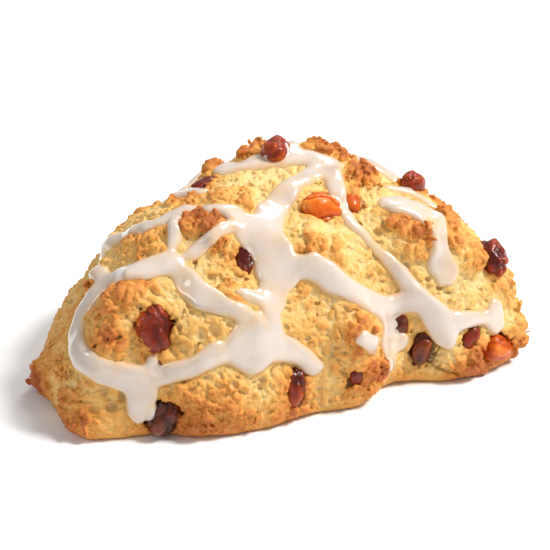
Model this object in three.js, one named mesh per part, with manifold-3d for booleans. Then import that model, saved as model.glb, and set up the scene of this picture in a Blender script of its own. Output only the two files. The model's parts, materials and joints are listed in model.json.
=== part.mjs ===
// An iced fruit scone: a wedge of baked dough with dried fruit in its surface and icing drizzled over it.
// Millimetres, +Z up. The origin is the middle of the scone's bounding box, at the level it rests on. The
// front faces -Y. A place on the scone is a direction from its heart, a point on the vertical axis inside
// the dough: a bearing, anticlockwise from +X as seen from above, and a pitch above the horizontal, both
// in degrees.
import * as THREE from "three";
import { mergeVertices } from "three/addons/utils/BufferGeometryUtils.js";
import Module from "manifold-3d";

const wasm = await Module();
wasm.setup();

// ---- Driving dimensions ----

const LENGTH = 110; // left to right, at the foot
const DEPTH = 84; // front to back, at the foot
const HEIGHT = 43.5; // from the board to the crown, without the lumps
const HEART_HEIGHT = 12;
const FLANK_POWER = 2.3; // how fast the flank leaves the vertical: 2 is an ellipse, more is squarer
const CROWN_POWER = 2.0;
const FOOT_ROUNDING = 5; // height over which the foot curls in to the board
const FOOT_TUCK = 2; // how far the foot curls in
const CRAG_SPACING = 9; // from one small swelling of the dough to the next
const CRAG_HEIGHT = 0.8;
const DOUGH_DIVISIONS = 14; // of each edge of the icosahedron that the dough is shaped from
const OUTLINE_DIVISIONS = 360; // round the foot's outline
const FRUIT_DIVISIONS = 1;
const FRUIT_GAP = 0.3; // clearance between a fruit and its socket
const FRUIT_FOLDS = 0.12; // depth of a fruit's folds, as a share of its radius
const FOLD_SPACING = 0.5; // from one fold to the next, as a share of the fruit's radius
const ICING_THICKNESS = 1.8; // of a strand of the usual width
const ICING_GAP = 0.4; // clearance between the icing and what it lies on
const ICING_ROOT = 1.5; // how far a strand is carried under the surface before it is trimmed to it
const USUAL_HALF_WIDTH = 2.5; // of a strand
const THICKENING = 0.24; // share that a strand thickens by for each millimetre more half width
const THICKEST = 1.2; // a pool's thickness, as a share of a usual strand's
const EDGE_THICKNESS = 0.3; // at a strand's sides, as a share of its middle
const END_THICKNESS = 0.4; // at a strand's ends, as a share of its middle
const END_WIDTH = 0.25; // at a strand's ends, as a share of its width
const STRAND_STEP = 3.5; // length of icing between two sections of a strand
const FEWEST_STEPS = 4; // along a short strand
const STRAND_FACES = 4; // faces across the top of a strand
const COURSE_DIVISIONS = 12; // of each stretch between two places, for measuring a strand's length
const COURSE_TILT = 0.02; // share of a strand looked ahead and behind for the way it runs
const NORMAL_TILT = 0.04; // radians looked to each side for the way the surface faces
const WELD = 1e-4;

const FINISHES = {
  dough: { color: 0xd09a56, roughness: 0.85 },
  icing: { color: 0xefe3d8, roughness: 0.2 },
  cranberry: { color: 0x8a2b1c, roughness: 0.35 },
  raisin: { color: 0x5d2a1a, roughness: 0.4 },
  apricot: { color: 0xdd6d1e, roughness: 0.35 },
};

// ---- Places on the scone ----

// The foot's outline, anticlockwise, in shares of half the length and half the depth.
const FOOTPRINT = [
  [1.0, 0.02],
  [0.93, 0.28],
  [0.74, 0.58],
  [0.46, 0.88],
  [0.16, 1.0],
  [-0.14, 0.94],
  [-0.44, 0.68],
  [-0.71, 0.38],
  [-0.9, 0.05],
  [-1.0, -0.26],
  [-0.92, -0.66],
  [-0.76, -0.98],
  [-0.5, -0.96],
  [-0.26, -0.97],
  [-0.06, -0.9],
  [0.13, -0.77],
  [0.34, -0.7],
  [0.5, -0.44],
  [0.72, -0.43],
  [0.88, -0.31],
  [1.0, -0.16],
];

// Swellings of the dough, and hollows, where the rise is negative: [bearing, pitch, radius, rise].
const LUMPS = [
  // the mound's own form
  [62, 52, 26, 2.2],
  [28, 48, 14, -2.6],
  [196, 16, 24, -2.5],
  [192, 7, 17, -7],
  [172, 34, 26, -1.5],
  [165, 52, 14, -1.5],
  [232, 18, 28, 1.5],
  // crust on the crest
  [115, 66, 6, 1.8],
  [150, 60, 6, 2.2],
  [80, 72, 4, 2],
  [45, 62, 10, 1.8],
  [14, 58, 8, 2.2],
  [352, 66, 6, 1.4],
  [275, 78, 5, 1.4],
  [318, 74, 6, 1.4],
  [15, 40, 5, 2.4],
  // crust on the left
  [230, 63, 7, 1.8],
  [224, 46, 5, 2.4],
  [234, 51, 6, 2.4],
  [241, 46, 5, 2.2],
  [204, 33, 4, 2],
  [206, 20, 5, 1.6],
  [221, 16, 6, 1.8],
  [225, 23, 6, 2.2],
  [228, 13, 4, 1],
  [222, -8, 8, 1.8],
  [202, -7, 6, 2.6],
  // crust on the front
  [283, 53, 8, 1.2],
  [290, 46, 9, 1.8],
  [251, 30, 5, 1.8],
  [257, 27, 5, 1.8],
  [263, 23, 5, 1.8],
  [250, 17, 8, 1],
  [303, 14, 7, 1.6],
  [301, 6, 6, 1.6],
  [311, 12, 6, 1.2],
  [308, -8, 6, 1.6],
  [252, -8, 10, 1],
  // crust on the right
  [343, 41, 5, 2.2],
  [340, 32, 6, 2.5],
  [351, 29, 6, 2],
  [348, 20, 6.5, 3.2],
  [322, 40, 8, 0.8],
  [352, -4, 6, 1.8],
  [341, -12, 5, 1.4],
  [357, 6, 7, 2.2],
  // crust on the back
  [100, 40, 8, 1.8],
  [128, 36, 7, 2],
  [70, 34, 8, 2],
  [40, 36, 8, 1.8],
  [24, 16, 8, 1.8],
  [58, 12, 9, 1.6],
  [88, 10, 8, 2],
  [122, 12, 8, 1.6],
  [150, 18, 7, 1.6],
  [178, -4, 8, 1.4],
  // hollows
  [135, 62, 7, -2],
  [250, 40, 9, -2.4],
  [233, 28, 5, -1.6],
  [231, 11, 4, -1.4],
  [228, -3, 8, -1.2],
  [350, 54, 5, -1.8],
  [336, 55, 4, -1.4],
  [338, 39, 4, -1.6],
  [338, 25, 5, -1.6],
  [350, 13, 5, -2.2],
  [328, 6, 6, -1.8],
  [270, 66, 8, -1],
  [140, 50, 6, -1.6],
  [86, 56, 7, -1.6],
  [108, 24, 7, -1.6],
  [44, 24, 6, -1.6],
  [72, 20, 6, -1.4],
];

// Pieces of dried fruit: kind, [bearing, pitch], [length, width, thickness], the turn of the length from
// straight uphill, anticlockwise as seen from outside, and how deep the middle is sunk. A scrap that lies
// close by another piece has, in place of a direction, its step from that piece: [uphill, across].
const FRUIT = {
  cranberry_left: { kind: "cranberry", at: [234, 16], size: [11, 8, 6.5], turn: 12, sunk: 0.8 },
  cranberry_left_scrap: {
    kind: "cranberry",
    by: "cranberry_left",
    step: [-8.4, 0.3],
    size: [3.8, 3.8, 3],
    turn: 0,
    sunk: 0.8,
  },
  cranberry_hollow: { kind: "cranberry", at: [252, 43], size: [9, 5, 4.5], turn: 4, sunk: 0.3 },
  cranberry_left_crest: { kind: "cranberry", at: [173, 59], size: [8.5, 5, 5], turn: 70, sunk: 0.2 },
  cranberry_crown: { kind: "cranberry", at: [94, 75], size: [9, 6, 6], turn: -15, sunk: -0.6 },
  cranberry_right_crest: { kind: "cranberry", at: [13, 39], size: [7.5, 5.5, 5], turn: 40, sunk: -0.6 },
  cranberry_right_end: { kind: "cranberry", at: [357, 14], size: [10, 7.5, 6.5], turn: -65, sunk: -0.4 },
  cranberry_drip: { kind: "cranberry", at: [341, -2], size: [6, 4, 4], turn: -40, sunk: 1 },
  cranberry_front_foot: { kind: "cranberry", at: [277, -6], size: [10, 5, 5], turn: -4, sunk: 1 },
  cranberry_small_foot: { kind: "cranberry", at: [301, -5], size: [5.5, 4, 4], turn: 0, sunk: 0.8 },
  cranberry_back: { kind: "cranberry", at: [86, 24], size: [10, 6.5, 6], turn: 30, sunk: 0.8 },
  cranberry_back_left: { kind: "cranberry", at: [146, 6], size: [9, 6, 5.5], turn: -60, sunk: 1 },
  raisin_left_foot: { kind: "raisin", at: [239, -8], size: [10, 8, 6.5], turn: -30, sunk: 1.4 },
  raisin_hole: { kind: "raisin", at: [328, 5], size: [6.5, 6, 5], turn: 0, sunk: 1 },
  raisin_right_foot: { kind: "raisin", at: [331, -5], size: [8.5, 5, 5], turn: -8, sunk: 0.9 },
  raisin_back_crest: { kind: "raisin", at: [66, 50], size: [9, 6, 5.5], turn: 50, sunk: 0.6 },
  raisin_back_foot: { kind: "raisin", at: [112, -2], size: [9.5, 6, 5.5], turn: 10, sunk: 1 },
  raisin_back_right: { kind: "raisin", at: [30, 4], size: [9, 6.5, 5.5], turn: 75, sunk: 0.9 },
  apricot_crown: { kind: "apricot", at: [315, 64], size: [9.5, 8, 6], turn: 50, sunk: 0.8 },
  apricot_crown_scrap: {
    kind: "apricot",
    by: "apricot_crown",
    step: [-3.6, -5.7],
    size: [5, 4, 3.6],
    turn: 0,
    sunk: 0.6,
  },
  apricot_right_foot: { kind: "apricot", at: [347, -7], size: [10, 6, 5.5], turn: 80, sunk: 1 },
  apricot_front_foot: { kind: "apricot", at: [316, -8], size: [7, 4.5, 4], turn: -60, sunk: 0.7 },
  apricot_back: { kind: "apricot", at: [124, 26], size: [9, 7, 5.5], turn: 20, sunk: 0.9 },
};

// Icing: each piece is strands that ran together; a strand is a list of [bearing, pitch, half width].
const ICING = {
  icing_front: {
    left_loop: [
      [233, 34, 3], [229, 33, 2.6], [225, 30, 2.5], [221, 27, 2.4], [215, 24, 2.4], [213, 20, 2.6],
      [212, 15, 2.8], [212, 11, 3], [216, 8, 3.2], [222, 6, 3.1], [227, 4, 3.2], [231, 3, 3.4],
      [234, 1, 3.6], [234, -5, 3.8], [234, -9, 3.4],
    ],
    left_link: [
      [234, 3, 3], [237, 4, 2.6], [241, 5, 2.3], [246, 7, 2.2], [250, 10, 2.4], [255, 12, 3.6],
    ],
    fruit_blob: [[235, 9, 1.4], [236, 6, 1.6], [237, 4, 2]],
    low_pool: [[257, 21, 3.4], [259, 17, 6.6], [261, 12, 8], [261, 7, 6.4], [261, 3, 3.6]],
    low_arm: [[266, 12, 4], [274, 9, 2.8], [279, 6, 2.2], [283, 3, 2.2], [285, -1, 2.5], [284, -4, 2]],
    upper_band: [
      [231, 34, 2.6], [236, 30, 3], [241, 28, 3.2], [246, 26, 2.8], [251, 25, 2.2], [256, 24, 1.8],
      [261, 22, 2], [265, 19, 2.6],
    ],
    pool_spill: [
      [252, 31, 1.1], [258, 31, 1.4], [263, 30, 1.8], [266, 27, 2], [268, 23, 1.8], [269, 17, 2.2],
      [267, 13, 3],
    ],
    pool: [
      [241, 57, 2.6], [247, 56, 3.6], [256, 54, 5.4], [264, 50, 5.2], [267, 44, 4.8], [269, 39, 5.6],
      [271, 34, 6.6], [271, 30, 5.6],
    ],
    pool_lip: [[270, 33, 3.2], [269, 28, 2.6], [268, 23, 2]],
    pool_neck: [
      [276, 38, 3.5], [284, 41, 3], [291, 38, 3], [297, 33, 2.8], [303, 29, 2.6], [309, 25, 2.6],
      [315, 20, 2.8], [320, 15, 3], [322, 10, 2.6], [320, 4, 2.6], [319, -2, 2.4], [319, -8, 2.3],
      [318, -13, 2.2],
    ],
    neck_drip: [[322, 7, 2.2], [325, 2, 2.2], [327, -3, 2.3], [327, -5, 2]],
    right_bridge: [[319, 16, 2.8], [325, 14, 2.6], [334, 14, 2.4]],
    thin_strand: [
      [20, 70, 2.4], [352, 69, 2.2], [335, 65, 2.2], [329, 60, 2], [324, 54, 1.8], [324, 50, 1.8],
      [326, 44, 1.8], [329, 38, 1.7], [330, 33, 1.6], [331, 29, 1.6], [332, 24, 1.7], [332, 19, 1.9],
      [333, 15, 2.2], [334, 10, 3], [335, 6, 3.5], [335, 1, 3.3], [335, -4, 2.9],
    ],
    right_cross: [[336, 5, 3], [340, 4, 2.1], [344, 3, 1.9], [347, 2, 2.2]],
    right_blob: [[349, 7, 2], [348, 3, 2.6], [347, 0, 2.8], [346, -3, 2.6]],
    crown: [
      [163, 62, 2.2], [152, 69, 2.6], [140, 75, 2.4], [112, 80, 2.2], [85, 81, 2.2], [55, 77, 2.4],
      [35, 73, 2.6], [20, 69, 2.6], [14, 64, 1.6],
    ],
    crown_rise: [[60, 77, 2.2], [72, 72, 2], [80, 66, 2], [84, 60, 2]],
    crown_run: [
      [17, 70, 2.4], [0, 77, 2.8], [325, 80, 3], [290, 77, 3], [272, 72, 3], [264, 66, 3], [263, 60, 3.4],
      [261, 55, 4],
    ],
    left_ridge: [
      [248, 57, 2.8], [236, 58, 2], [230, 56, 1.8], [222, 54, 1.8], [215, 52, 1.8], [210, 49, 2.2],
      [211, 44, 2.6], [210, 40, 2.8], [205, 38, 2.4], [200, 35, 1.6], [196, 30, 2], [191, 25, 2.6],
      [188, 19, 2.8], [189, 13, 2.4], [194, 9, 1.8],
    ],
    left_drop: [[212, 48, 1.6], [216, 46, 1.7], [220, 44, 1.7], [225, 41, 1.8], [227, 37, 2.2]],
    left_diagonal: [[231, 36, 2], [234, 40, 1.5], [237, 44, 1.4], [240, 49, 1.5], [246, 55, 2.2]],
    loop_spur: [[212, 23, 2], [205, 21, 1.8], [199, 17, 2.2], [195, 13, 2.4], [193, 9, 1.8]],
  },
  icing_front_drop: {
    drop: [[298, 11, 1.9], [302, 11, 2.4], [305, 8, 2.2], [308, 4, 1.7], [311, -1, 1.6]],
  },
  icing_right: {
    strand: [
      [342, 50, 2.4], [346, 48, 3], [349, 44, 3.2], [350, 38, 3], [348, 34, 2.9], [346, 30, 2.8],
      [343, 27, 2.6], [341, 22, 2.4], [340, 18, 2.6], [341, 15, 2.2],
    ],
  },
  icing_right_crest: {
    strand: [[2, 50, 1.8], [6, 46, 2], [4, 41, 1.9], [1, 36, 1.7], [358, 32, 1.4]],
  },
  icing_left_crest: {
    strand: [
      [200, 62, 1.4], [196, 60, 2], [188, 57, 2.2], [183, 52, 2.2], [178, 46, 2], [166, 41, 2],
      [150, 38, 2], [128, 38, 2.2], [108, 42, 2.2],
    ],
    drip: [[144, 38, 2], [142, 28, 1.9], [140, 18, 2.4]],
  },
  icing_back: {
    run: [
      [98, 52, 2], [96, 44, 2.2], [84, 38, 2.4], [64, 38, 2.2], [46, 40, 2], [30, 36, 2.2],
      [20, 28, 2.2],
    ],
    middle_drip: [[84, 38, 2.4], [94, 28, 2], [100, 16, 2], [102, 6, 2.6]],
    right_drip: [[46, 40, 2], [50, 28, 2], [50, 16, 2.6]],
  },
};

// ---- Directions and small helpers ----

const DEGREE = Math.PI / 180;
const HEART = new THREE.Vector3(0, 0, HEART_HEIGHT);

function heading(bearing, pitch) {
  const level = Math.cos(pitch * DEGREE);
  return new THREE.Vector3(
    level * Math.cos(bearing * DEGREE),
    level * Math.sin(bearing * DEGREE),
    Math.sin(pitch * DEGREE),
  );
}

function along(direction, distance) {
  return HEART.clone().addScaledVector(direction, distance);
}

function directionTo(point) {
  return point.clone().sub(HEART).normalize();
}

// A repeatable value from -1 to 1 at a corner of the noise lattice.
function cornerValue(i, j, k) {
  const s = Math.sin(i * 127.1 + j * 311.7 + k * 74.7) * 43758.5453;
  return 2 * (s - Math.floor(s)) - 1;
}

// Smooth noise from -1 to 1, with swellings about one unit apart.
function noise(x, y, z) {
  const cell = [x, y, z].map(Math.floor);
  const [u, v, w] = [x, y, z].map((c, axis) => {
    const t = c - cell[axis];
    return t * t * (3 - 2 * t);
  });
  let sum = 0;
  for (const [i, j, k] of CORNERS) {
    const weight = (i ? u : 1 - u) * (j ? v : 1 - v) * (k ? w : 1 - w);
    sum += weight * cornerValue(cell[0] + i, cell[1] + j, cell[2] + k);
  }
  return sum;
}
const CORNERS = [0, 1, 2, 3, 4, 5, 6, 7].map((n) => [n & 1, (n >> 1) & 1, n >> 2]);

// ---- The dough's surface, as a distance from the heart in any direction ----

// Pairs of bearing (radians) and reach round the footprint, in order of bearing.
const REACHES = (() => {
  const corners = FOOTPRINT.map(([x, y]) => new THREE.Vector3((x * LENGTH) / 2, (y * DEPTH) / 2, 0));
  const edge = new THREE.CatmullRomCurve3(corners, true, "centripetal").getPoints(OUTLINE_DIVISIONS);
  return edge.map((p) => [Math.atan2(p.y, p.x), Math.hypot(p.x, p.y)]).sort((a, b) => a[0] - b[0]);
})();

function footprintReach(bearing) {
  const next = REACHES.findIndex(([b]) => b > bearing);
  const last = REACHES.length - 1;
  const [b1, r1] = REACHES[next <= 0 ? 0 : next];
  const [b0, r0] = REACHES[next <= 0 ? last : next - 1];
  const span = (b1 - b0 + 2 * Math.PI) % (2 * Math.PI);
  const step = (bearing - b0 + 2 * Math.PI) % (2 * Math.PI);
  return r0 + (r1 - r0) * (span > 0 ? step / span : 0);
}

// The smooth mound under the lumps: its distance from the heart.
function moundRadius(direction) {
  const level = Math.hypot(direction.x, direction.y);
  const reach = footprintReach(Math.atan2(direction.y, direction.x));
  let low = 0;
  let high = LENGTH + DEPTH;
  for (let i = 0; i < 30; i++) {
    const middle = (low + high) / 2;
    const z = HEART_HEIGHT + direction.z * middle;
    const curl = Math.max(0, 1 - Math.max(0, z) / FOOT_ROUNDING);
    const flank = (level * middle) / (reach - FOOT_TUCK * curl * curl);
    const crown = Math.abs(z) / HEIGHT;
    if (flank ** FLANK_POWER + crown ** CROWN_POWER < 1) low = middle;
    else high = middle;
  }
  return low;
}

const LUMP_PLACES = LUMPS.map(([bearing, pitch, radius, rise]) => {
  const direction = heading(bearing, pitch);
  return { centre: along(direction, moundRadius(direction)), radius, rise };
});

function doughRadius(direction) {
  const mound = moundRadius(direction);
  const at = along(direction, mound);
  let raised = 0;
  for (const { centre, radius, rise } of LUMP_PLACES) {
    const away = Math.min(1, at.distanceTo(centre) / radius);
    raised += rise * (1 - away ** 2) ** 1.5;
  }
  const [x, y, z] = at.toArray().map((c) => c / CRAG_SPACING);
  const crags = noise(x, y, z) + 0.5 * noise(2 * x + 7, 2 * y, 2 * z);
  return mound + raised + CRAG_HEIGHT * crags;
}

// The mound's outward normal at a direction.
function outward(direction) {
  const side = new THREE.Vector3(-direction.y, direction.x, 0);
  if (side.length() < WELD) side.set(1, 0, 0);
  side.normalize();
  const up = direction.clone().cross(side);
  const moundAt = (way, tilt) => {
    const turned = direction.clone().addScaledVector(way, tilt).normalize();
    return along(turned, moundRadius(turned));
  };
  const acrossIt = moundAt(side, NORMAL_TILT).sub(moundAt(side, -NORMAL_TILT));
  const upIt = moundAt(up, NORMAL_TILT).sub(moundAt(up, -NORMAL_TILT));
  return acrossIt.cross(upIt).normalize();
}

// ---- Fruit ----

// The surface's own directions at a place on the dough: uphill, across it anticlockwise, and outwards.
function surfaceAxes(direction) {
  const out = outward(direction);
  const uphill = new THREE.Vector3(0, 0, 1).projectOnPlane(out).normalize();
  return [uphill, out.clone().cross(uphill), out];
}

function fruitDirection({ at, by, step }) {
  if (at) return heading(...at);
  const neighbour = heading(...FRUIT[by].at);
  const [uphill, across] = surfaceAxes(neighbour);
  const place = along(neighbour, doughRadius(neighbour));
  return directionTo(place.addScaledVector(uphill, step[0]).addScaledVector(across, step[1]));
}

// A piece's middle, its axes (length, width, thickness) and its half sizes.
const FRUIT_PLACES = Object.entries(FRUIT).map(([name, piece]) => {
  const direction = fruitDirection(piece);
  const [uphill, , thickness] = surfaceAxes(direction);
  const length = uphill.applyAxisAngle(thickness, piece.turn * DEGREE);
  const width = thickness.clone().cross(length);
  const middle = along(direction, doughRadius(direction)).addScaledVector(thickness, -piece.sunk);
  const halves = piece.size.map((size) => size / 2);
  return { name, kind: piece.kind, middle, axes: [length, width, thickness], halves };
});

// Where a ray from the heart leaves a piece of fruit, or 0 where it misses.
function fruitRadius({ middle, axes, halves }, direction) {
  const start = HEART.clone().sub(middle);
  const [o, d] = [start, direction].map(
    (v) => new THREE.Vector3(...axes.map((axis, i) => v.dot(axis) / halves[i])),
  );
  const [a, b, c] = [d.dot(d), o.dot(d), o.dot(o) - 1];
  const root = b * b - a * c;
  return root > 0 ? (Math.sqrt(root) - b) / a : 0;
}

function fruitSolid({ middle, axes, halves }, clearance) {
  const ball = new THREE.IcosahedronGeometry(1, FRUIT_DIVISIONS);
  const points = ball.getAttribute("position");
  const local = new THREE.Vector3();
  for (let i = 0; i < points.count; i++) {
    local.fromBufferAttribute(points, i);
    const lattice = local.clone().divideScalar(FOLD_SPACING).add(middle);
    const folds = 1 + FRUIT_FOLDS * noise(...lattice);
    const placed = middle.clone();
    axes.forEach((axis, k) => {
      placed.addScaledVector(axis, local.getComponent(k) * (halves[k] * folds + clearance));
    });
    points.setXYZ(i, ...placed);
  }
  return solidOf(ball);
}

// ---- Icing ----

// What the icing lies on: the dough, or a fruit that stands out of it.
function bed(direction) {
  const radii = FRUIT_PLACES.map((fruit) => fruitRadius(fruit, direction));
  return along(direction, Math.max(doughRadius(direction), ...radii));
}

// A strand's way over the scone: its direction from the heart and its half width at a share of the way.
function courseOf(places) {
  const curve = new THREE.CatmullRomCurve3(places.map(([b, p]) => heading(b, p)), false, "centripetal");
  const stretches = places.length - 1;
  const directionAt = (share) => curve.getPoint(share).normalize();
  const halfWidthAt = (share) => {
    const i = Math.min(Math.floor(share * stretches), stretches - 1);
    return THREE.MathUtils.lerp(places[i][2], places[i + 1][2], share * stretches - i);
  };
  return { stretches, directionAt, halfWidthAt };
}

// How far along the mound each small step of a course has come.
function lengthsAlong({ stretches, directionAt }) {
  const steps = COURSE_DIVISIONS * stretches;
  const lengths = [0];
  let before = null;
  for (let i = 0; i <= steps; i++) {
    const direction = directionAt(i / steps);
    const here = along(direction, moundRadius(direction));
    if (before) lengths.push(lengths[i - 1] + here.distanceTo(before));
    before = here;
  }
  return lengths;
}

// The share of the way and the distance from the nearer end for each section, closer together at the ends.
function sectionPlaces(course) {
  const lengths = lengthsAlong(course);
  const last = lengths.length - 1;
  const total = lengths[last];
  const steps = Math.max(FEWEST_STEPS, Math.round(total / STRAND_STEP));
  return Array.from({ length: steps + 1 }, (_, i) => {
    const eased = (1 - Math.cos((Math.PI * i) / steps)) / 2;
    const distance = (total * (i / steps + eased)) / 2;
    const k = Math.max(1, lengths.findIndex((length) => length >= distance - WELD));
    const share = (k - 1 + (distance - lengths[k - 1]) / (lengths[k] - lengths[k - 1])) / last;
    return { share: THREE.MathUtils.clamp(share, 0, 1), toEnd: Math.min(distance, total - distance) };
  });
}

function strandThickness(halfWidth) {
  return ICING_THICKNESS * Math.min(THICKEST, 1 + THICKENING * (halfWidth - USUAL_HALF_WIDTH));
}

// One section's corners: over the top from side to side, then back along the root.
function strandSection({ directionAt, halfWidthAt }, { share, toEnd }) {
  const at = bed(directionAt(share));
  const ahead = bed(directionAt(Math.min(1, share + COURSE_TILT)));
  const behind = bed(directionAt(Math.max(0, share - COURSE_TILT)));
  const across = outward(directionTo(at)).cross(ahead.sub(behind)).normalize();
  const halfWidth = halfWidthAt(share);
  const end = THREE.MathUtils.clamp(toEnd / halfWidth, 0, 1);
  const round = Math.max(END_WIDTH, Math.sqrt(1 - (1 - end) ** 2));
  const thickness = strandThickness(halfWidth) * THREE.MathUtils.lerp(END_THICKNESS, 1, round);
  const top = [];
  const root = [];
  for (let f = 0; f <= STRAND_FACES; f++) {
    const angle = (Math.PI * f) / STRAND_FACES;
    const side = at.clone().addScaledVector(across, -Math.cos(angle) * halfWidth * round);
    const up = outward(directionTo(side));
    const height = thickness * THREE.MathUtils.lerp(EDGE_THICKNESS, 1, Math.sin(angle));
    top.push(bed(directionTo(side)).addScaledVector(up, height));
    root.unshift(bed(directionTo(side)).addScaledVector(up, -ICING_ROOT));
  }
  return [...top, ...root];
}

// A strand laid along its places, with round ends, and rooted under the surface.
function strandSolid(places) {
  const course = courseOf(places);
  const sections = sectionPlaces(course).map((place) => strandSection(course, place));
  const round = sections[0].length;
  const end = (sections.length - 1) * round;
  const faces = [];
  for (let start = 0; start < end; start += round) {
    for (let j = 0; j < round; j++) {
      const [a, b] = [start + j, start + ((j + 1) % round)];
      faces.push(a, a + round, b, b, a + round, b + round);
    }
  }
  for (let j = 1; j < round - 1; j++) {
    faces.push(0, j, j + 1);
    faces.push(end, end + j + 1, end + j);
  }
  const geometry = new THREE.BufferGeometry().setFromPoints(sections.flat());
  geometry.setIndex(faces);
  return solidOf(geometry);
}

// ---- Solids ----

function solidOf(geometry) {
  geometry.deleteAttribute("normal");
  geometry.deleteAttribute("uv");
  const merged = mergeVertices(geometry, WELD);
  return new wasm.Manifold(
    new wasm.Mesh({
      numProp: 3,
      vertProperties: merged.attributes.position.array,
      triVerts: new Uint32Array(merged.index.array),
    }),
  );
}

function meshOf(name, solid, finish) {
  const { numProp, numVert, vertProperties, triVerts } = solid.getMesh();
  const positions = new Float32Array(numVert * 3);
  for (let i = 0; i < numVert; i++) {
    positions.set(vertProperties.subarray(i * numProp, i * numProp + 3), i * 3);
  }
  const geometry = new THREE.BufferGeometry();
  geometry.setAttribute("position", new THREE.BufferAttribute(positions, 3));
  geometry.setIndex(new THREE.BufferAttribute(triVerts, 1));
  geometry.computeVertexNormals();
  const mesh = new THREE.Mesh(geometry, new THREE.MeshStandardMaterial({ ...finish, metalness: 0 }));
  mesh.name = name;
  return mesh;
}

// The dough, grown by a clearance and cut off flat at the board.
function doughSolid(clearance) {
  const ball = new THREE.IcosahedronGeometry(1, DOUGH_DIVISIONS);
  const points = ball.getAttribute("position");
  const direction = new THREE.Vector3();
  for (let i = 0; i < points.count; i++) {
    direction.fromBufferAttribute(points, i).normalize();
    points.setXYZ(i, ...along(direction, doughRadius(direction) + clearance));
  }
  const board = new THREE.BoxGeometry(2 * LENGTH, 2 * DEPTH, 2 * HEIGHT);
  board.translate(0, 0, -HEIGHT - clearance);
  return solidOf(ball).subtract(solidOf(board));
}

const sockets = FRUIT_PLACES.map((fruit) => fruitSolid(fruit, FRUIT_GAP));
const scone = new THREE.Group();
scone.add(meshOf("baked_dough", doughSolid(0).subtract(wasm.Manifold.union(sockets)), FINISHES.dough));
for (const fruit of FRUIT_PLACES) {
  scone.add(meshOf(fruit.name, fruitSolid(fruit, 0), FINISHES[fruit.kind]));
}
const underIcing = wasm.Manifold.union([doughSolid(ICING_GAP), ...sockets]);
for (const [name, strands] of Object.entries(ICING)) {
  const laid = wasm.Manifold.union(Object.values(strands).map(strandSolid));
  scone.add(meshOf(name, laid.subtract(underIcing), FINISHES.icing));
}

// The origin is under the middle of the whole.
const middle = new THREE.Box3().setFromObject(scone).getCenter(new THREE.Vector3());
scone.position.set(-middle.x, -middle.y, 0);

export default scone;
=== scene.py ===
"""Looks of the iced fruit scone: craggy baked dough, glossy icing and wrinkled dried fruit."""

import json
import math
from concurrent.futures import ThreadPoolExecutor

import bpy
import numpy as np
import openvdb
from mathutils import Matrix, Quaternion, Vector


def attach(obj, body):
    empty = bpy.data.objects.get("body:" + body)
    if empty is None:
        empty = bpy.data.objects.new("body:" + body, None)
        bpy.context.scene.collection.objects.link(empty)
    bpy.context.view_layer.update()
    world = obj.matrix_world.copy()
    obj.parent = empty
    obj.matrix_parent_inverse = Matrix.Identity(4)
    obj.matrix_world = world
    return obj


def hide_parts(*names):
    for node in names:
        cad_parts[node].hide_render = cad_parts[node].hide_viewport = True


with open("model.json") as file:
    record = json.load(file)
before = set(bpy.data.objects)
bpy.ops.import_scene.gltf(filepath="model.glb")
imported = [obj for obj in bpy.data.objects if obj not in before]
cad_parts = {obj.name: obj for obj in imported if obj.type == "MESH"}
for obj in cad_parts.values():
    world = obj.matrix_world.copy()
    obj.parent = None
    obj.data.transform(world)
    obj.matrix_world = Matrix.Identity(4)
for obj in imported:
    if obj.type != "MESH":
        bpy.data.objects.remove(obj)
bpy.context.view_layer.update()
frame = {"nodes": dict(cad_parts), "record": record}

# ---- Sizes, in millimetres ----

DOUGH_VOXEL = 0.3
ICING_VOXEL = 0.3
FRUIT_VOXEL = 0.22
BAND = 4.0  # half width of the layer round a surface where its distance is worked out
HEART = (-0.83, 0.45, 12.0)  # the point inside the dough that bearings and pitches are taken from

# Relief of the dough. A size is the width of one swelling.
RELIEF_REACH = 2.8  # the relief is worked out this far in and out of the bare dough, and no further
SWELL_SIZE = 7.5
LUMP_SIZE = 4.2
CRAG_SIZE = 2.1
CRUMB_SIZE = 1.15
GRIT_SIZE = 0.65
CRACK_DEPTH = 0.9
FRUIT_LIP = 0.6  # height of the lips of dough round the fruit
FRUIT_LIP_WIDTH = 2.2
UNDER_ICING = 1.2  # the dough is smoother within this distance of icing

# Pores, flakes and cracks.
PORES = 3800
PORE_RADIUS = 0.42
PORE_VARIETY = 0.4  # how much the radii differ, as the spread of their logarithm
LARGEST_PORE = 1.2
LOWEST_PORE = 3  # height under which there are none
CRACK_WANDER = 0.25
FLAKE_THICKNESS = 0.84
FLAKE_STAND = 0.9  # how far a flake's middle stands off the dough
FLAKE_TILT = 24  # degrees

ICING_SINK = 1.0  # how far the icing reaches into the dough's crags
ICING_LEVEL = 1.1  # height over the dough at which the icing's outline is read
ICING_SPREAD = 0.35  # what the icing's outline grows by
ICING_DEPTH = 1.1  # height of the middle of a run
ICING_ROUNDING = 1.4  # width over which the icing's edge falls away
FRUIT_CLEAR = 0.5  # icing stands this much lower on fruit than on dough
LARGEST_SHIFT = 3.5  # furthest that a place is moved up or down to read the icing's outline

FRUIT_PLUMPING = 0.1  # how far the dried fruit's skin stands off its CAD solid
PLUMP_WIDTH = 7  # fruit this wide has its full folds, and narrower fruit has less
CREASE_STRETCH = 0.5  # creases run along a fruit, so noise is read this much slower that way

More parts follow.
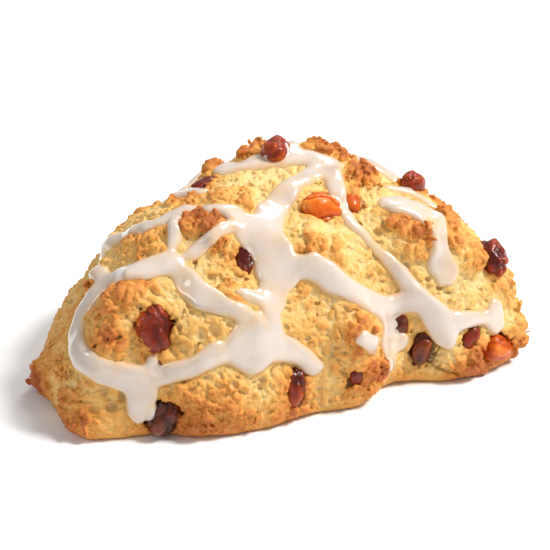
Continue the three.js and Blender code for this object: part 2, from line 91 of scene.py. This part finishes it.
# Toasted crust: (bearing, pitch, radius, rise, toast), in degrees, millimetres and shares.
CRUST = [
    (115, 66, 5, 1.7, 0.8),
    (150, 60, 5, 2.0, 0.8),
    (45, 62, 9, 1.3, 0.8),
    (14, 58, 7, 1.7, 0.9),
    (352, 66, 5, 0.8, 0.6),
    (80, 72, 4, 1.4, 0.8),
    (13, 38, 5, 1.7, 1.0),
    (351, 29, 6, 1.0, 0.5),
    (185, 58, 5, 1.6, 0.9),
    (196, 52, 6, 1.0, 0.7),
    (230, 63, 7, 0.8, 0.6),
    (224, 46, 5, 1.2, 1.0),
    (234, 51, 6, 1.2, 1.0),
    (241, 46, 4, 1.0, 0.9),
    (216, 38, 8, 0.7, 0.6),
    (204, 33, 5, 0.8, 0.7),
    (206, 20, 5, 0.8, 0.7),
    (222, 20, 5, 1.0, 0.6),
    (225, 25, 5, 0.9, 0.8),
    (226, 13, 4, 0.8, 0.7),
    (222, -8, 9, 0.6, 0.8),
    (202, -9, 9, 1.0, 1.0),
    (251, 30, 4, 0.7, 0.6),
    (257, 27, 4, 0.8, 0.8),
    (263, 23, 4, 0.7, 0.6),
    (290, 44, 8, 0.8, 0.6),
    (284, 40, 4, 0.7, 0.7),
    (303, 12, 6, 0.9, 0.8),
    (301, 5, 5, 0.9, 0.9),
    (309, -7, 6, 0.8, 0.9),
    (343, 41, 5, 1.0, 0.7),
    (340, 32, 5, 1.4, 0.7),
    (348, 20, 6, 1.2, 0.35),
    (357, 6, 7, 1.0, 0.2),
    (341, -12, 8, 0.7, 0.8),
    (354, -8, 9, 0.7, 0.5),
    (250, -12, 12, 0.4, 0.7),
    (275, -12, 10, 0.4, 0.5),
    (205, 2, 22, 0.2, 0.35),
    (240, 2, 18, 0.2, 0.3),
    (305, 0, 16, 0.2, 0.3),
    (100, 40, 9, 1.0, 0.8),
    (60, 20, 12, 0.9, 0.7),
    (130, 14, 12, 0.9, 0.7),
    (24, 20, 9, 0.8, 0.7),
    (165, 30, 9, 0.9, 0.7),
    (85, -2, 22, 0.3, 0.5),
]

# Holes in the crumb: (bearing, pitch, radius).
HOLES = [(243, 33, 1.1), (240, 17, 0.8), (256, 35, 0.6), (288, 26, 0.7), (333, 42, 0.7), (262, 0, 0.7)]

# Cracks: (half width, places), each place a bearing and a pitch.
CRACKS = [
    (0.45, [(243, 33), (246, 34), (249, 33), (252, 35)]),
    (0.6, [(229, 13), (226, 12), (223, 10)]),
    (0.45, [(293, -2), (296, -4), (300, -3), (303, -6)]),
    (0.4, [(222, 2), (217, 0), (212, 1), (208, -2)]),
    (0.45, [(298, 22), (302, 20), (305, 21)]),
    (0.5, [(330, 20), (327, 17), (325, 18)]),
    (0.5, [(100, 30), (108, 26), (114, 27), (121, 22)]),
    (0.5, [(60, 30), (52, 27), (44, 29)]),
]

# Thin flakes of dough that stand off the surface: (bearing, pitch, length, turn).
FLAKES = [
    (243, 0, 3.2, 20),
    (226, -9, 3.0, 60),
    (224, 12, 2.4, -30),
    (250, -3, 2.0, 80),
    (345, 34, 2.2, 10),
]


# ---- Fields on a grid ----


def blend(corner, x, y, z):
    """Blends a cell's eight corners. corner(a, b, c) has the values at one, and x, y, z are shares."""
    near = corner(0, 0, 0) * (1 - z) + corner(0, 0, 1) * z
    right = corner(1, 0, 0) * (1 - z) + corner(1, 0, 1) * z
    far = corner(0, 1, 0) * (1 - z) + corner(0, 1, 1) * z
    both = corner(1, 1, 0) * (1 - z) + corner(1, 1, 1) * z
    return (near * (1 - x) + right * x) * (1 - y) + (far * (1 - x) + both * x) * y


class Grid:
    """A box of voxels. Voxel (i, j, k) is at (base + (i, j, k)) * voxel."""

    def __init__(self, low, high, voxel):
        self.voxel = voxel
        self.base = np.floor(np.asarray(low) / voxel).astype(int)
        top = np.ceil(np.asarray(high) / voxel).astype(int)
        self.shape = tuple(int(n) for n in top - self.base + 1)

    def transform(self):
        return openvdb.createLinearTransform(voxelSize=self.voxel)

    def field_of(self, mesh):
        """Signed distance to a closed mesh, negative inside."""
        points, triangles = mesh
        grid = openvdb.FloatGrid.createLevelSetFromPolygons(
            points, triangles=triangles, transform=self.transform(), halfWidth=BAND / self.voxel
        )
        field = np.empty(self.shape, np.float32)
        grid.copyToArray(field, ijk=tuple(int(b) for b in self.base))
        return field

    def places(self, mask):
        """Positions of the voxels in a mask."""
        return (np.argwhere(mask) + self.base).astype(np.float32) * np.float32(self.voxel)

    def sample(self, field, points):
        """The field at any points, interpolated."""
        limit = np.array(self.shape) - 1.001  # just inside the last cell

        def read(points):
            at = np.clip(points / self.voxel - self.base, 0, limit)
            cell = at.astype(np.int32)
            x, y, z = (at - cell).astype(np.float32).T
            i, j, k = cell.T

            def corner(a, b, c):
                return field[i + a, j + b, k + c]

            return blend(corner, x, y, z)

        return in_chunks(read, points)

    def blur(self, field, sigma):
        """Gaussian blur, sigma in millimetres."""
        reach = max(1, int(2.5 * sigma / self.voxel))  # past 2.5 sigma the weights are small
        weights = np.exp(-0.5 * (np.arange(-reach, reach + 1) * self.voxel / sigma) ** 2)
        weights = (weights / weights.sum()).astype(np.float32)
        for axis in range(3):
            padded = np.pad(field, [(reach, reach) if a == axis else (0, 0) for a in range(3)], mode="edge")
            window = [slice(None)] * 3
            field = np.zeros_like(field)
            for n, weight in enumerate(weights):
                window[axis] = slice(n, n + field.shape[axis])
                field += weight * padded[tuple(window)]
        return field

    def surface(self, field):
        """The field's zero surface as (points, quads)."""
        edge = 3 * self.voxel
        grid = openvdb.FloatGrid(edge)
        grid.transform = self.transform()
        grid.copyFromArray(np.clip(field, -edge, edge), ijk=tuple(int(b) for b in self.base))
        return grid.convertToQuads(0.0)


def in_chunks(work, points, size=50000):
    """work(points), done a chunk at a time on all cores."""
    chunks = [points[n : n + size] for n in range(0, len(points), size)]
    with ThreadPoolExecutor() as pool:
        return np.concatenate(list(pool.map(work, chunks)))


def noise(points, size, seed):
    """Smooth noise from -1 to 1, with features of that size."""
    rng = np.random.default_rng(seed)
    cells = 32
    lattice = rng.uniform(-1, 1, (cells,) * 3).astype(np.float32)
    turn, _ = np.linalg.qr(rng.normal(size=(3, 3)))
    turn = (turn / size).astype(np.float32)
    start = rng.uniform(0, cells, 3).astype(np.float32)

    def read(points):
        at = points @ turn + start
        cell = np.floor(at)
        t = at - cell
        x, y, z = (t * t * (3 - 2 * t)).T
        i, j, k = cell.astype(np.int32).T

        def corner(a, b, c):
            return lattice[(i + a) % cells, (j + b) % cells, (k + c) % cells]

        return blend(corner, x, y, z)

    return in_chunks(read, points)


def warped(points, amount, size, seed):
    """The points, each moved by a smooth amount."""
    return points + amount * np.stack([noise(points, size, seed + a) for a in range(3)], axis=1)


def nodules(points, size, seed):
    """Rounded swellings from 0 to 1 with sharp creases between them."""
    return np.minimum(1, 2 * np.abs(noise(points, size, seed)))


def level_nodules(points, size, seed):
    """Nodules that are as much under zero as over it."""
    return nodules(points, size, seed) - 0.45


def fade(value, low, high):
    """0 below low, 1 above high, smooth between."""
    t = np.clip((value - low) / (high - low), 0, 1)
    return t * t * (3 - 2 * t)


# ---- Meshes in and out ----


def cad_mesh(name):
    """A CAD node's (points in millimetres, triangles)."""
    mesh = frame["nodes"][name].data
    mesh.calc_loop_triangles()
    points = np.empty(len(mesh.vertices) * 3, np.float32)
    mesh.vertices.foreach_get("co", points)
    triangles = np.empty(len(mesh.loop_triangles) * 3, np.int32)
    mesh.loop_triangles.foreach_get("vertices", triangles)
    return points.reshape(-1, 3) * 1000, triangles.reshape(-1, 3).astype(np.uint32)


def islands(count, quads):
    """For each vertex, the lowest vertex number that it is joined to."""
    label = np.arange(count)
    a = quads.ravel()
    b = np.roll(quads, 1, axis=1).ravel()
    while True:
        low = np.minimum(label[a], label[b])
        new = label.copy()
        np.minimum.at(new, a, low)
        np.minimum.at(new, b, low)
        new = new[new]
        if (new == label).all():
            return label
        label = new


def without_crumbs(points, quads, share=0.5):
    """The surface without the closed bits smaller than a share of the largest."""
    label = islands(len(points), quads)
    names, counts = np.unique(label, return_counts=True)
    kept = np.isin(label, names[counts >= share * counts.max()])
    number = np.cumsum(kept) - 1
    return points[kept], number[quads[kept[quads[:, 0]]]]


def add_piece(name, points, quads, cad_nodes, attributes, material):
    """Makes a smooth mesh object of quads that stands for CAD nodes."""
    a, b, c, d = (points[quads[:, n]] for n in range(4))
    volume = np.einsum("ij,ij->i", a + c, np.cross(c - a, d - b)).sum()
    if volume < 0:
        quads = quads[:, ::-1]
    mesh = bpy.data.meshes.new(name)
    mesh.vertices.add(len(points))
    mesh.vertices.foreach_set("co", (points * 0.001).astype(np.float32).ravel())
    mesh.loops.add(quads.size)
    mesh.loops.foreach_set("vertex_index", quads.astype(np.int32).ravel())
    mesh.polygons.add(len(quads))
    mesh.polygons.foreach_set("loop_start", np.arange(0, quads.size, 4, dtype=np.int32))
    mesh.update(calc_edges=True)
    mesh.polygons.foreach_set("use_smooth", np.ones(len(quads), bool))
    for key, values in attributes.items():
        mesh.attributes.new(key, "FLOAT", "POINT").data.foreach_set("value", values.astype(np.float32))
    mesh.materials.append(material)
    piece = bpy.data.objects.new(name, mesh)
    bpy.context.scene.collection.objects.link(piece)
    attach(piece, "root")
    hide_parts(*cad_nodes)


# ---- Materials ----


class Nodes:
    """Builds a material's node tree."""

    def __init__(self, name):
        self.material = bpy.data.materials.new(name)
        self.material.use_nodes = True
        self.tree = self.material.node_tree
        self.shader = self.tree.nodes["Principled BSDF"]

    def set(self, **values):
        for key, value in values.items():
            self.shader.inputs[key.replace("_", " ")].default_value = value

    def new(self, kind, values=None, **settings):
        node = self.tree.nodes.new("ShaderNode" + kind)
        for key, value in settings.items():
            setattr(node, key, value)
        for key, value in (values or {}).items():
            if isinstance(value, bpy.types.NodeSocket):
                self.tree.links.new(value, node.inputs[key])
            else:
                node.inputs[key].default_value = value
        return node

    def link(self, out, key):
        self.tree.links.new(out, self.shader.inputs[key])

    def attribute(self, name):
        return self.new("Attribute", attribute_name=name).outputs["Fac"]

    def noise(self, scale, detail, roughness):
        values = {"Scale": scale, "Detail": detail, "Roughness": roughness}
        values["Vector"] = self.new("TexCoord").outputs["Object"]
        return self.new("TexNoise", values).outputs["Fac"]

    def math(self, operation, a, b, c=0.0):
        return self.new("Math", {0: a, 1: b, 2: c}, operation=operation).outputs[0]

    def spread(self, value, low, high, to_low=0.0, to_high=1.0):
        """A value from low to high, taken smoothly to another range."""
        values = {"Value": value, "From Min": low, "From Max": high, "To Min": to_low, "To Max": to_high}
        return self.new("MapRange", values, interpolation_type="SMOOTHSTEP").outputs["Result"]

    def ramp(self, value, stops):
        """A colour for each value, from (value, colour) stops."""
        node = self.new("ValToRGB", {"Fac": value})
        elements = node.color_ramp.elements
        while len(elements) < len(stops):
            elements.new(0.5)
        for element, (position, colour) in zip(elements, stops):
            element.position = position
            element.color = (*colour, 1)
        return node.outputs["Color"]

    def multiply(self, a, b):
        """Two colours multiplied."""
        node = self.new("Mix", {"Factor": 1.0}, data_type="RGBA", blend_type="MULTIPLY")
        for key, value in (("A", a), ("B", b)):
            socket = next(s for s in node.inputs if s.name == key and s.type == "RGBA")
            self.tree.links.new(value, socket)
        return next(s for s in node.outputs if s.type == "RGBA")

    def bump(self, layers):
        """Bump from (height, distance in metres, strength) layers, the coarsest first."""
        normal = None
        for height, distance, strength in layers:
            values = {"Height": height, "Distance": distance, "Strength": strength}
            if normal:
                values["Normal"] = normal
            normal = self.new("Bump", values).outputs["Normal"]
        self.link(normal, "Normal")


def dough_material():
    n = Nodes("baked_dough")
    patches = n.noise(110, 4, 0.6)
    specks = n.noise(700, 5, 0.7)
    grain = n.noise(2400, 3, 0.6)
    foot = n.spread(n.attribute("height"), 0.5, 9, 0.22, 0.0)
    toast = n.math("MULTIPLY_ADD", n.attribute("toast"), 0.58, foot)
    toast = n.math("MULTIPLY_ADD", n.attribute("crest"), 0.42, toast)
    toast = n.math("MULTIPLY_ADD", patches, 0.5, toast)
    toast = n.math("MULTIPLY_ADD", specks, 0.5, toast)
    toast = n.math("SUBTRACT", toast, 0.4)
    colour = n.ramp(
        toast,
        [
            (0.0, (0.87, 0.62, 0.27)),
            (0.2, (0.86, 0.54, 0.17)),
            (0.4, (0.84, 0.44, 0.1)),
            (0.6, (0.79, 0.35, 0.066)),
            (0.8, (0.73, 0.26, 0.042)),
            (1.0, (0.5, 0.135, 0.022)),
        ],
    )
    light = n.spread(grain, 0.3, 0.75, 0.86, 1.08)
    shades = n.new("CombineColor", {"Red": light, "Green": light, "Blue": light}).outputs[0]
    n.link(n.multiply(colour, shades), "Base Color")
    n.link(n.spread(specks, 0.3, 0.7, 0.45, 0.7), "Roughness")
    n.set(Subsurface_Weight=0.12, Subsurface_Radius=(0.003, 0.0014, 0.0006), Subsurface_Scale=0.5)
    n.set(Specular_IOR_Level=0.4)
    n.bump([(specks, 0.001, 0.5), (grain, 0.0004, 0.6)])
    return n.material


def icing_material():
    n = Nodes("icing")
    cloud = n.noise(160, 3, 0.5)
    ripple = n.noise(420, 2, 0.5)
    thick = n.attribute("thickness")
    cover = n.spread(n.math("MULTIPLY_ADD", cloud, 0.8, thick), 0.3, 2.2)
    colour = n.ramp(
        cover,
        [
            (0.0, (0.74, 0.48, 0.24)),
            (0.3, (0.7, 0.53, 0.38)),
            (0.7, (0.68, 0.57, 0.49)),
            (1.0, (0.7, 0.6, 0.53)),
        ],
    )
    n.link(colour, "Base Color")
    n.link(n.spread(cloud, 0.3, 0.7, 0.12, 0.24), "Roughness")
    n.set(Subsurface_Weight=0.35, Subsurface_Radius=(0.0028, 0.0019, 0.0014), Subsurface_Scale=0.5)
    n.set(IOR=1.5, Coat_Weight=0.8, Coat_Roughness=0.06)
    n.bump([(ripple, 0.0005, 0.15)])
    return n.material


def fruit_material(name, deep, body, painted_fold_highlight, scatter):
    """Skin with random mottling, painted shade in its creases and a painted highlight on its folds. scatter
    is in metres, for each colour.
    """
    n = Nodes(name)
    folds = n.attribute("fold")
    mottle = n.noise(260, 4, 0.6)
    skin = n.noise(1400, 4, 0.6)
    # Random mottle plus the folds: painted shade where the skin creases, painted highlight where it folds
    # out.
    mottle_and_painted_fold_shade = n.math("MULTIPLY_ADD", mottle, 0.7, n.math("MULTIPLY", folds, 0.5))
    colour = n.ramp(mottle_and_painted_fold_shade, [(0.2, deep), (0.5, body), (0.85, painted_fold_highlight)])
    n.link(colour, "Base Color")
    n.link(n.spread(skin, 0.35, 0.7, 0.2, 0.42), "Roughness")
    n.set(Subsurface_Weight=0.3, Subsurface_Radius=scatter, Subsurface_Scale=0.7)
    n.set(Coat_Weight=0.3, Coat_Roughness=0.08, Specular_IOR_Level=0.22)
    n.bump([(mottle, 0.0008, 0.4), (skin, 0.0003, 0.5)])
    return n.material


MATERIALS = {"dough": dough_material(), "icing": icing_material()}
# For each fruit: the painted shade colour for the creases, the skin's own body colour, the painted
# highlight colour for the folds, and the scatter in metres.
FRUIT_COLOURS = {
    "cranberry": ((0.08, 0.009, 0.003), (0.28, 0.026, 0.004), (0.66, 0.16, 0.014), (0.004, 0.0008, 0.0003)),
    "raisin": ((0.05, 0.007, 0.002), (0.2, 0.034, 0.004), (0.44, 0.13, 0.015), (0.003, 0.0008, 0.0003)),
    "apricot": ((0.36, 0.04, 0.002), (0.66, 0.12, 0.005), (0.86, 0.3, 0.025), (0.005, 0.0016, 0.0004)),
}
for kind, colours in FRUIT_COLOURS.items():
    MATERIALS[kind] = fruit_material(kind, *colours)


# ---- Dough ----

nodes = sorted(frame["nodes"])
slots = {part["node"]: part["material_slot"] for part in frame["record"]["subparts"]}
icing_nodes = [node for node in nodes if slots[node] == "icing"]
fruit_nodes = [node for node in nodes if slots[node] in FRUIT_COLOURS]
cad_points = np.concatenate([cad_mesh(node)[0] for node in nodes])
low, high = cad_points.min(axis=0), cad_points.max(axis=0)
heart = np.array(HEART, np.float32)

grid = Grid(low - 3, high + 3, DOUGH_VOXEL)
bare = grid.blur(grid.field_of(cad_mesh("baked_dough")), 0.6)  # the dough without its relief


def surface_point(bearing, pitch):
    """Where a direction from the heart leaves the dough."""
    b, p = math.radians(bearing), math.radians(pitch)
    direction = np.array([math.cos(p) * math.cos(b), math.cos(p) * math.sin(b), math.sin(p)])
    ray = heart + np.outer(np.arange(5, 80, 0.2), direction)
    inside = grid.sample(bare, ray) < 0
    return ray[np.nonzero(inside)[0].max()]


def distance_to(names):
    """Distance to the nearest of some CAD nodes, at each voxel."""
    nearest = np.full(grid.shape, BAND, np.float32)
    for name in names:
        nearest = np.minimum(nearest, grid.field_of(cad_mesh(name)))
    return nearest


def toasted(at):
    """How toasted the crust is at each place, and how far it rises there."""
    crust = np.zeros(len(at), np.float32)
    rise = np.zeros(len(at), np.float32)
    bent = warped(warped(at, 2.2, 7.0, 13), 1.1, 3.0, 16)
    for bearing, pitch, radius, height, share in CRUST:
        away = np.linalg.norm(bent - surface_point(bearing, pitch), axis=1) / radius
        inside = fade(1.3 - away, 0, 1.0)
        crust = np.maximum(crust, share * inside)
        rise = np.maximum(rise, height * inside)
    return np.clip(crust + 0.25 * noise(at, 9, 5) + 0.1 * noise(at, 3.5, 6), 0, 1), rise


def craggy(at, crust, rise):
    """How far the dough rises at each place, with its crags and fine cracks."""
    bent = warped(at, 1.1, 5.0, 11)
    swell = noise(bent, SWELL_SIZE, 21)
    lumps = level_nodules(bent, LUMP_SIZE, 31)
    crags = level_nodules(warped(at, 0.5, 2.4, 41), CRAG_SIZE, 45)
    crumbs = level_nodules(warped(at, 0.25, 1.2, 48), CRUMB_SIZE, 51)
    grit = noise(at, GRIT_SIZE, 61)
    rough = 0.5 + 0.5 * crust
    relief = 0.6 * swell + (0.33 + 0.25 * crust) * lumps
    relief = relief + rough * 0.9 * crags + (0.4 + 0.5 * crust) * crumbs
    relief += (0.15 + 0.2 * crust) * grit
    crack_line = np.abs(noise(warped(at, 1.6, 6, 71), 9, 75))
    cracks = CRACK_DEPTH * fade(0.05 - crack_line, 0, 0.05) * fade(noise(at, 14, 81), 0.0, 0.4)
    return rise * (0.5 + 0.9 * lumps + 0.5 * crags) + relief - cracks


icing_distance = distance_to(icing_nodes)
fruit_distance = distance_to(fruit_nodes)
band = np.abs(bare) < RELIEF_REACH
at = grid.places(band)
crust, rise = toasted(at)
lift = craggy(at, crust, rise)
lift *= 1 - 0.7 * fade(UNDER_ICING - icing_distance[band], 0, UNDER_ICING)
lip = fade(FRUIT_LIP_WIDTH - np.abs(fruit_distance[band]), 0, FRUIT_LIP_WIDTH)
lift += FRUIT_LIP * lip * fade(noise(at, 3.6, 86), -0.15, 0.4)
lift *= fade(at[:, 2], -0.5, 3.0)  # the underside stays flat

relief = np.zeros(grid.shape, np.float32)
relief[band] = lift
dough = bare - relief


def ellipsoid(centre, radii, axes):
    """The block of voxels round an ellipsoid, and how deep in it each one is. Everything in millimetres."""
    at = np.round(np.asarray(centre) / grid.voxel - grid.base).astype(int)
    reach = int(max(radii) / grid.voxel) + 2
    at = np.clip(at, reach, np.array(grid.shape) - reach - 1)
    block = tuple(slice(c - reach, c + reach + 1) for c in at)
    steps = np.arange(-reach, reach + 1) * grid.voxel
    offsets = np.stack(np.meshgrid(steps, steps, steps, indexing="ij"), axis=-1)
    away = np.linalg.norm(offsets @ np.transpose(axes) / radii, axis=-1)
    return block, (1 - away) * min(radii)


def carve(centre, radii):
    """Takes an ellipsoid out of the dough."""
    block, depth = ellipsoid(centre, radii, np.eye(3))
    dough[block] = np.maximum(dough[block], depth)


def stick(centre, radii, axes):
    """Adds an ellipsoid to the dough. Each row of axes is one of its directions."""
    block, depth = ellipsoid(centre, radii, axes)
    dough[block] = np.minimum(dough[block], -depth)


rng = np.random.default_rng(7)
skin = np.argwhere(np.abs(dough) < 0.5 * DOUGH_VOXEL)
for place in (skin[rng.integers(0, len(skin), PORES)] + grid.base) * grid.voxel:
    if place[2] > LOWEST_PORE:
        radius = min(LARGEST_PORE, PORE_RADIUS * math.exp(PORE_VARIETY * rng.normal()))
        carve(place, radius * rng.uniform(0.75, 1.4, 3))
for bearing, pitch, radius in HOLES:
    carve(surface_point(bearing, pitch), (radius, radius, radius * 0.9))
for half_width, places in CRACKS:
    line = [surface_point(*place) for place in places]
    for start, end in zip(line, line[1:]):
        for share in np.arange(0, 1, half_width / np.linalg.norm(end - start)):
            wander = rng.normal(size=3) * CRACK_WANDER
            radius = half_width * rng.uniform(0.7, 1.3)
            carve(start + (end - start) * share + wander, np.full(3, radius))

for bearing, pitch, length, turn in FLAKES:
    place = surface_point(bearing, pitch)
    out = Vector(place - heart).normalized()
    along = out.orthogonal().normalized()
    along.rotate(Quaternion(out, math.radians(turn)))
    out.rotate(Quaternion(along, math.radians(FLAKE_TILT)))
    across = out.cross(along)
    radii = (length / 2, length / 3, FLAKE_THICKNESS / 2)
    stick(place + FLAKE_STAND * np.array(out), radii, np.array([along, across, out]))

points, quads = without_crumbs(*grid.surface(dough))
points[:, 2] = np.maximum(points[:, 2], low[2])
crust_field = np.zeros(grid.shape, np.float32)
crust_field[band] = crust
convex = grid.sample(grid.blur(dough, 0.9), points)
broad = grid.sample(grid.blur(relief, 1.2), points)
add_piece(
    "dough_crust",
    points,
    quads,
    ["baked_dough"],
    {
        "toast": grid.sample(crust_field, points),
        "crest": np.clip(0.6 * broad + 1.5 * convex, -1, 1),
        "height": points[:, 2],
    },
    MATERIALS["dough"],
)

# ---- Icing ----

soft_dough = grid.blur(bare - relief, 0.8)
bed = grid.blur(np.minimum(bare, fruit_distance), 0.5)  # what the CAD icing lies on
slope = np.stack(np.gradient(bed), axis=-1)
crown_of_fruit = fruit_distance + FRUIT_CLEAR


def icing_height(inside, at):
    """How high the icing stands at a distance inside its outline."""
    fall = 1 - np.clip(inside / ICING_ROUNDING, 0, 1)
    depth = ICING_DEPTH + 0.5 * noise(at, 7, 90) + 0.15 * noise(at, 3, 91)
    return depth * np.sqrt(1 - fall * fall)


def icing_outline(part, field, near):
    """Distance to the icing's outline: the CAD icing's, read at one height over its bed."""
    at = part.places(near)
    up = np.stack([grid.sample(slope[..., a], at) for a in range(3)], axis=1)
    up /= np.maximum(np.linalg.norm(up, axis=1, keepdims=True), 1e-6)
    to_level = np.clip(ICING_LEVEL - grid.sample(bed, at), -LARGEST_SHIFT, LARGEST_SHIFT)
    outline = field.copy()
    outline[near] = part.sample(field, at + up * to_level[:, None])
    return part.blur(outline, 0.7)


def add_icing(node):
    """A glaze with a rounded edge that fills the icing's outline and follows the crags."""
    node_points, triangles = cad_mesh(node)
    part = Grid(node_points.min(axis=0) - 4, node_points.max(axis=0) + 3, ICING_VOXEL)
    field = part.field_of((node_points, triangles))
    near = np.abs(field) < BAND - 0.2
    outline = icing_outline(part, field, near)
    at = part.places(near)
    inside = ICING_SPREAD + 0.25 * noise(at, 3.2, 92) - outline[near]
    over = np.minimum(grid.sample(soft_dough, at), grid.sample(crown_of_fruit, at))
    top = np.where(inside > 0, over - icing_height(inside, at), np.maximum(over, 0) - inside)
    laid = np.full(part.shape, BAND, np.float32)
    laid[near] = np.maximum(top, -(grid.sample(dough, at) + ICING_SINK))
    points, quads = without_crumbs(*part.surface(part.blur(laid, 0.3)), share=0.02)
    thickness = grid.sample(dough, points)
    add_piece(node + "_set", points, quads, [node], {"thickness": thickness}, MATERIALS["icing"])


for node in icing_nodes:
    add_icing(node)

# ---- Fruit ----


def add_fruit(number, node):
    """Wrinkled fruit. Each number gives a piece its own folds, which run along the piece."""
    mesh = cad_mesh(node)
    part = Grid(mesh[0].min(axis=0) - 1.5, mesh[0].max(axis=0) + 1.5, FRUIT_VOXEL)
    field = part.blur(part.field_of(mesh), 0.45)
    everywhere = part.places(np.ones(part.shape, bool))
    _, _, axes = np.linalg.svd(mesh[0] - mesh[0].mean(axis=0), full_matrices=False)
    along = (axes.T * (CREASE_STRETCH, 1, 1)).astype(np.float32)
    bent = warped(everywhere, 1.3, 3.4, 100 + number) @ along
    folds = 0.55 * nodules(bent, 2.3, 200 + number) - 0.3
    folds += 0.14 * nodules(bent, 1.0, 300 + number) - 0.07
    folds += 0.55 * noise(everywhere, 4.5, 400 + number)
    folds *= min(1.0, np.ptp(mesh[0] @ axes[1]) / PLUMP_WIDTH)
    folds = folds.reshape(part.shape)
    points, quads = without_crumbs(*part.surface(field - folds - FRUIT_PLUMPING))
    # The fold height, which the fruit material turns into painted shade in the creases and a painted
    # highlight on the folds.
    fold = part.sample(folds, points)
    kind = slots[node]
    add_piece(node + "_dried", points, quads, [node], {"fold": fold}, MATERIALS[kind])


for number, node in enumerate(fruit_nodes):
    add_fruit(number, node)

# ---- Floor, light and camera ----

FLOOR_SIZE = 6.0  # this and all below are in metres
WORLD_STRENGTH = 0.36
CAMERA_ELEVATION = 28  # degrees
CAMERA_DISTANCE = 0.470
CAMERA_TARGET = (-0.0015, 0.0005, 0.0183)

half = FLOOR_SIZE / 2
corners = [(-half, -half, 0), (half, -half, 0), (half, half, 0), (-half, half, 0)]
floor_mesh = bpy.data.meshes.new("floor")
floor_mesh.from_pydata(corners, [], [(0, 1, 2, 3)])
floor = bpy.data.objects.new("floor", floor_mesh)
bpy.context.scene.collection.objects.link(floor)
paper = Nodes("floor_paper")
paper.set(Base_Color=(0.93, 0.93, 0.93, 1), Roughness=0.9)
floor_mesh.materials.append(paper.material)

world = bpy.data.worlds.new("studio")
bpy.context.scene.world = world
world.use_nodes = True
world.node_tree.nodes["Background"].inputs["Color"].default_value = (1, 1, 1, 1)
world.node_tree.nodes["Background"].inputs["Strength"].default_value = WORLD_STRENGTH

centre = Vector((low + high) / 2000)  # the middle of the CAD box, from millimetres to metres


def softbox(name, azimuth, elevation, distance, size, power):
    """A square area light that faces the scone, in degrees, metres and watts.

    Azimuth 0 is the front and 90 the right.
    """
    lamp = bpy.data.lights.new(name, "AREA")
    lamp.shape = "SQUARE"
    lamp.size = size
    lamp.energy = power
    a, e = math.radians(azimuth), math.radians(elevation)
    away = Vector((math.sin(a) * math.cos(e), -math.cos(a) * math.cos(e), math.sin(e)))
    place = bpy.data.objects.new(name, lamp)
    place.location = centre + away * distance
    place.rotation_euler = (-away).to_track_quat("-Z", "Y").to_euler()
    bpy.context.scene.collection.objects.link(place)


softbox("key", 82, 52, 0.9, 0.22, 9.2)
softbox("back", 160, 50, 0.9, 0.3, 2.4)
softbox("fill", -60, 35, 1.0, 0.3, 1.3)

camera_data = bpy.data.cameras.new("camera")
camera_data.lens = 135
camera_data.sensor_width = 36
camera_data.clip_start = 0.01
camera = bpy.data.objects.new("camera", camera_data)
elevation = math.radians(CAMERA_ELEVATION)
sight = Vector((0, math.cos(elevation), -math.sin(elevation)))
camera.location = Vector(CAMERA_TARGET) - sight * CAMERA_DISTANCE
camera.rotation_euler = sight.to_track_quat("-Z", "Y").to_euler()
bpy.context.scene.collection.objects.link(camera)
bpy.context.scene.camera = camera
bpy.context.scene.view_settings.view_transform = "Standard"
